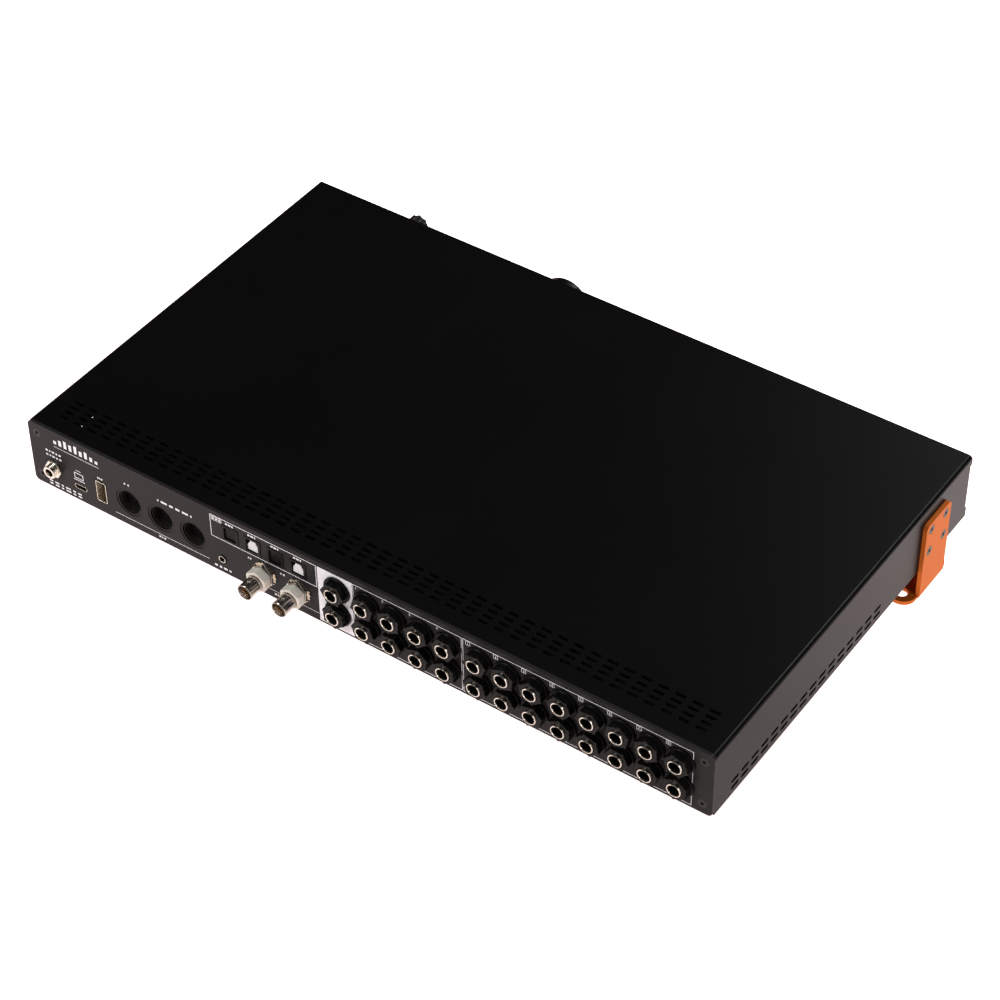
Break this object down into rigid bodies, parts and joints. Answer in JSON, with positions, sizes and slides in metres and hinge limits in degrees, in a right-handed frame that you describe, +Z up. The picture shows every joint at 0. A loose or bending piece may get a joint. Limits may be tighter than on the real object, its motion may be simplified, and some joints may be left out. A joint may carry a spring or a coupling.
{
  "type": "audio interface",
  "caption": "Rack-width audio interface one unit high, with a connector panel of jacks at the rear, knobs and a display at the front, and two bent ears turned under as a stand.",
  "frame": {"origin": "under the middle of the whole object, on the plane of the ears' undersides", "axes": "+Z up from the undersides, +X to the right seen from the front, -Y towards the front; the case lies level, as it does in a rack"},
  "size_m": [0.447, 0.2946, 0.0634],
  "materials": {
    "black_steel": "fine satin powder coat",
    "grey_panel": "satin powder coat, pale printing",
    "orange_steel": "satin orange powder coat",
    "nickel": "bright nickel plate",
    "black_screw": "blackened steel",
    "black_plastic": "moulded, fine texture",
    "cream_plastic": "moulded insulator",
    "grey_shutter": "moulded",
    "bare_steel": "zinc plate",
    "bare_aluminium": "machined",
    "circuit_board": "glass epoxy with solder resist",
    "chip": "moulded epoxy",
    "capacitor": "sleeved can",
    "ribbon": "extruded cable",
    "window": "clear acrylic over black border",
    "display": "liquid crystal panel",
    "gold": "gold plate"
  },
  "bodies": {
    "case": {"base_tray": "black_steel", "top_cover": "black_steel", "rear_panel": "grey_panel", "front_panel": "black_steel", "corner_blocks": "bare_aluminium", "ear_nut_plates": "bare_steel", "bracket_right": "orange_steel", "bracket_left": "orange_steel", "bracket_screws": "black_screw", "panel_screws": "black_screw", "base_screws": "black_screw", "main_board": "circuit_board", "front_board": "circuit_board", "board_standoffs": "bare_steel", "board_screws": "bare_steel", "ribbon_cable": "ribbon", "heat_sink": "bare_aluminium", "main_chips": "chip", "capacitors": "capacitor", "display_window": "window", "display_module": "display", "encoder_body": "bare_steel", "phones_pot_body": "bare_steel", "button_switches": "black_plastic", "midi_cores": "black_plastic", "midi_shells": "nickel", "usb_c_shell": "nickel", "usb_c_tongue": "black_plastic", "usb_a_shell": "nickel", "usb_a_tongue": "cream_plastic", "dc_jack_body": "nickel", "dc_jack_pin": "nickel", "mini_jacks": "black_plastic", "optical_housings": "black_plastic", "line_jack_housings": "black_plastic", "line_jack_barrels": "nickel", "line_jack_nuts": "black_plastic", "bnc_shells": "nickel", "bnc_collars": "cream_plastic", "bnc_nuts": "nickel", "bnc_pins": "gold", "combo_jacks": "black_plastic", "phones_jack": "black_plastic"},
    "main_press": {"encoder_plunger": "bare_steel"},
    "main_turn": {"encoder_shaft": "bare_steel", "main_knob": "black_plastic"},
    "phones_turn": {"phones_shaft": "bare_steel", "phones_knob": "black_plastic"},
    "power_button_cap": {"power_button": "black_plastic"},
    "input_1_button_cap": {"input_1_button": "black_plastic"},
    "input_2_button_cap": {"input_2_button": "black_plastic"},
    "home_button_cap": {"home_button": "black_plastic"},
    "back_button_cap": {"back_button": "black_plastic"},
    "speaker_a_button_cap": {"speaker_a_button": "black_plastic"},
    "speaker_b_button_cap": {"speaker_b_button": "black_plastic"},
    "mute_button_cap": {"mute_button": "black_plastic"},
    "optical_in_1_shutter_flap": {"optical_in_1_shutter": "black_plastic"},
    "optical_out_1_shutter_flap": {"optical_out_1_shutter": "grey_shutter"},
    "optical_in_2_shutter_flap": {"optical_in_2_shutter": "black_plastic"},
    "optical_out_2_shutter_flap": {"optical_out_2_shutter": "grey_shutter"}
  },
  "joints": [
    {"name": "main_knob_press", "type": "slide", "parent": "case", "child": "main_press", "axis": [0, 1, 0], "range_m": [0, 0.0005], "stiffness_N_per_m": 3000, "springref_m": -0.0005},
    {"name": "main_knob_turn", "type": "hinge", "parent": "main_press", "child": "main_turn", "pos_m": [0.0485, -0.1328, 0.0416], "axis": [0, -1, 0], "continuous": true},
    {"name": "phones_knob_turn", "type": "hinge", "parent": "case", "child": "phones_turn", "pos_m": [0.156, -0.1328, 0.0503], "axis": [0, -1, 0], "range_deg": [-150, 150]},
    {"name": "power_button_press", "type": "slide", "parent": "case", "child": "power_button_cap", "axis": [0, 1, 0], "range_m": [0, 0.0005], "stiffness_N_per_m": 2000, "springref_m": -0.0005},
    {"name": "input_1_button_press", "type": "slide", "parent": "case", "child": "input_1_button_cap", "axis": [0, 1, 0], "range_m": [0, 0.0005], "stiffness_N_per_m": 2000, "springref_m": -0.0005},
    {"name": "input_2_button_press", "type": "slide", "parent": "case", "child": "input_2_button_cap", "axis": [0, 1, 0], "range_m": [0, 0.0005], "stiffness_N_per_m": 2000, "springref_m": -0.0005},
    {"name": "home_button_press", "type": "slide", "parent": "case", "child": "home_button_cap", "axis": [0, 1, 0], "range_m": [0, 0.0005], "stiffness_N_per_m": 2000, "springref_m": -0.0005},
    {"name": "back_button_press", "type": "slide", "parent": "case", "child": "back_button_cap", "axis": [0, 1, 0], "range_m": [0, 0.0005], "stiffness_N_per_m": 2000, "springref_m": -0.0005},
    {"name": "speaker_a_button_press", "type": "slide", "parent": "case", "child": "speaker_a_button_cap", "axis": [0, 1, 0], "range_m": [0, 0.0005], "stiffness_N_per_m": 2000, "springref_m": -0.0005},
    {"name": "speaker_b_button_press", "type": "slide", "parent": "case", "child": "speaker_b_button_cap", "axis": [0, 1, 0], "range_m": [0, 0.0005], "stiffness_N_per_m": 2000, "springref_m": -0.0005},
    {"name": "mute_button_press", "type": "slide", "parent": "case", "child": "mute_button_cap", "axis": [0, 1, 0], "range_m": [0, 0.0005], "stiffness_N_per_m": 2000, "springref_m": -0.0005},
    {"name": "optical_in_1_shutter_open", "type": "hinge", "parent": "case", "child": "optical_in_1_shutter_flap", "pos_m": [0.0799, 0.1283, 0.0543], "axis": [-1, 0, 0], "range_deg": [0, 80], "stiffness_Nm_per_rad": 0.002, "springref_deg": -17.19},
    {"name": "optical_out_1_shutter_open", "type": "hinge", "parent": "case", "child": "optical_out_1_shutter_flap", "pos_m": [0.0648, 0.1283, 0.0543], "axis": [-1, 0, 0], "range_deg": [0, 80], "stiffness_Nm_per_rad": 0.002, "springref_deg": -17.19},
    {"name": "optical_in_2_shutter_open", "type": "hinge", "parent": "case", "child": "optical_in_2_shutter_flap", "pos_m": [0.0495, 0.1283, 0.0543], "axis": [-1, 0, 0], "range_deg": [0, 80], "stiffness_Nm_per_rad": 0.002, "springref_deg": -17.19},
    {"name": "optical_out_2_shutter_open", "type": "hinge", "parent": "case", "child": "optical_out_2_shutter_flap", "pos_m": [0.0345, 0.1283, 0.0543], "axis": [-1, 0, 0], "range_deg": [0, 80], "stiffness_Nm_per_rad": 0.002, "springref_deg": -17.19}
  ]
}
